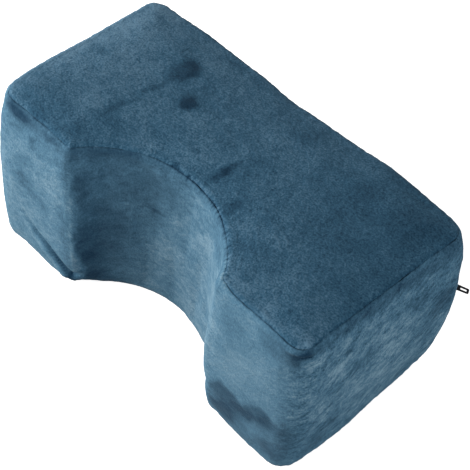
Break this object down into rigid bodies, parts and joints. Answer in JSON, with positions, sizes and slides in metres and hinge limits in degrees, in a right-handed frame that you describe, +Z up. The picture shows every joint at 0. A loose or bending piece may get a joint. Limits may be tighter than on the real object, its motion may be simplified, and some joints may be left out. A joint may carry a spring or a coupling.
{
  "type": "knee pillow",
  "caption": "Foam knee pillow block in a short-pile velour cover, with a straight back, two blunt wings and a round scoop for the leg between them.",
  "frame": {"origin": "middle of the flat bottom that the pillow rests on, midway along its length and depth", "axes": "+X along the length, +Y towards the straight back that holds the zip, -Y towards the scoop, +Z up from the flat bottom"},
  "size_m": [0.3673, 0.2038, 0.1764],
  "materials": {
    "velour": "short-pile teal-blue velour with marks in its nap",
    "zip_tape": "woven dark blue tape with a nylon coil",
    "zip_metal": "black satin paint"
  },
  "bodies": {
    "root": {"side_band": "velour", "top_panel": "velour", "bottom_panel": "velour", "zip_tape": "zip_tape", "zip_slider": "zip_metal", "zip_pull": "zip_metal"}
  },
  "joints": []
}
